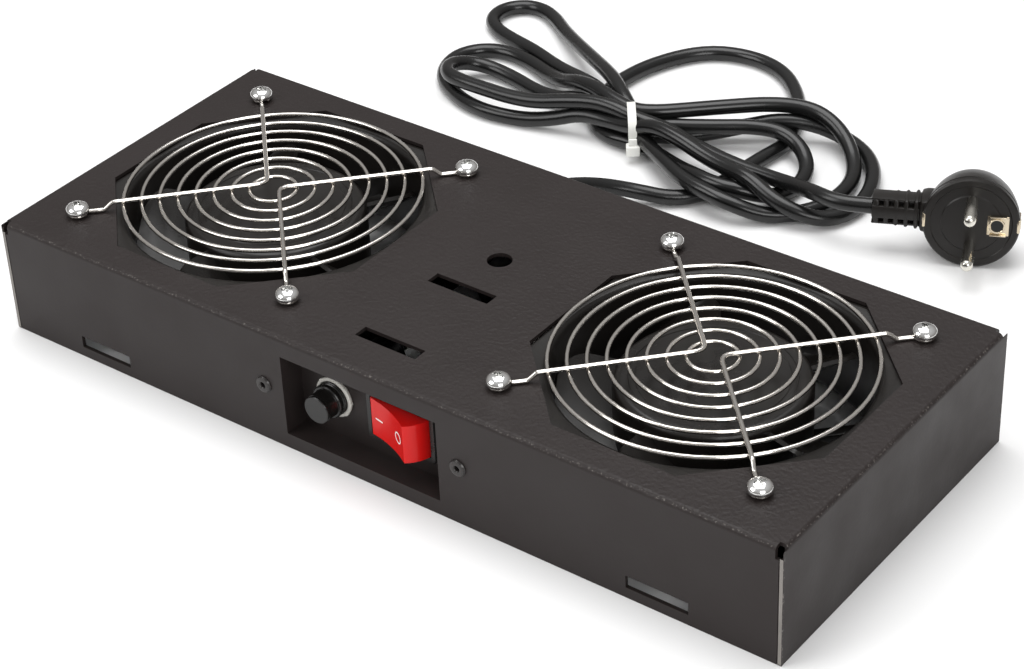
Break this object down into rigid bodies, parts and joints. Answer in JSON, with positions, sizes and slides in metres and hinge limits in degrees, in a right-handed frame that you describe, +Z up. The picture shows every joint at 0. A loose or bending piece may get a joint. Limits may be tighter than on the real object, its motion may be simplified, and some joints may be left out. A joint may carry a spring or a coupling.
{
  "type": "rack fan tray",
  "caption": "Shallow black sheet-metal tray with axial fans under octagonal openings, wire finger guards, a recessed rocker switch and fuse holder, and a mains lead with an angled plug",
  "frame": {"origin": "On the floor, under the middle of the housing's length and depth, in the plane of its open bottom rim", "axes": "+X to the right along the front wall, +Y from the front wall to the back wall where the lead comes out, +Z up through the fan openings"},
  "size_m": [0.348, 0.3357, 0.0532],
  "materials": {
    "black_coat": "satin fine-textured powder coat, near black",
    "dark_rivet": "black-coated tubular rivet, worn at the rim",
    "black_plastic": "smooth moulded black plastic",
    "red_rocker": "glossy translucent red plastic with white marks",
    "grey_plastic": "light grey ring nut",
    "tab_metal": "tinned tab",
    "fuse_glass": "clear fuse tube",
    "fan_frame": "black-coated cast frame",
    "stator_steel": "laminated steel",
    "bearing_steel": "ground bright steel",
    "fan_plastic": "satin black moulding",
    "bright_wire": "bright plated steel wire",
    "bright_screw": "bright plated steel",
    "wire_cover": "black sleeved wire pair",
    "cord_cover": "glossy black flexible plastic",
    "white_nylon": "natural white nylon",
    "nickel": "nickel plate",
    "brass_contact": "brass contact"
  },
  "bodies": {
    "tray": {"tray_housing": "black_coat", "control_pocket": "black_coat", "pocket_rivets": "dark_rivet", "switch_housing": "black_plastic", "switch_terminals": "tab_metal", "fuse_holder_barrel": "black_plastic", "fuse_holder_ring_nut": "grey_plastic", "fuse_holder_terminals": "tab_metal", "left_fan_frame": "fan_frame", "left_fan_stator": "stator_steel", "right_fan_frame": "fan_frame", "right_fan_stator": "stator_steel", "fan_bearings": "bearing_steel", "finger_guards": "bright_wire", "guard_screws": "bright_screw", "guard_nuts": "bright_screw", "cord_gland": "black_plastic", "gland_lock_nut": "black_plastic", "supply_wires": "wire_cover", "left_fan_wires": "wire_cover", "right_fan_wires": "wire_cover", "cord_lead": "cord_cover", "cord_tail": "cord_cover", "cord_hank": "cord_cover", "cable_tie": "white_nylon", "plug_body": "cord_cover", "plug_pins": "nickel", "plug_earth_contacts": "brass_contact", "plug_strain_relief": "cord_cover"},
    "rocker": {"switch_rocker": "red_rocker"},
    "fuse_carrier": {"fuse_carrier": "black_plastic", "fuse_end_caps": "nickel", "fuse_glass": "fuse_glass"},
    "fuse_cap": {"fuse_cap": "black_plastic"},
    "left_rotor": {"left_impeller": "fan_plastic", "left_rotor_cup": "stator_steel", "left_rotor_shaft": "bearing_steel"},
    "right_rotor": {"right_impeller": "fan_plastic", "right_rotor_cup": "stator_steel", "right_rotor_shaft": "bearing_steel"}
  },
  "joints": [
    {"name": "left_rotor_spin", "type": "hinge", "parent": "tray", "child": "left_rotor", "pos_m": [-0.1, 0, 0.0085], "axis": [0, 0, 1], "continuous": true},
    {"name": "right_rotor_spin", "type": "hinge", "parent": "tray", "child": "right_rotor", "pos_m": [0.1, 0, 0.0085], "axis": [0, 0, 1], "continuous": true},
    {"name": "rocker_tilt", "type": "hinge", "parent": "tray", "child": "rocker", "pos_m": [0.0117, -0.0611, 0.0232], "axis": [0, 0, 1], "range_deg": [0, 40]},
    {"name": "fuse_slide", "type": "slide", "parent": "tray", "child": "fuse_carrier", "axis": [0, -1, 0], "range_m": [0, 0.026]},
    {"name": "fuse_cap_turn", "type": "hinge", "parent": "fuse_carrier", "child": "fuse_cap", "pos_m": [-0.0196, -0.065, 0.0228], "axis": [0, 1, 0], "range_deg": [0, 60]}
  ]
}
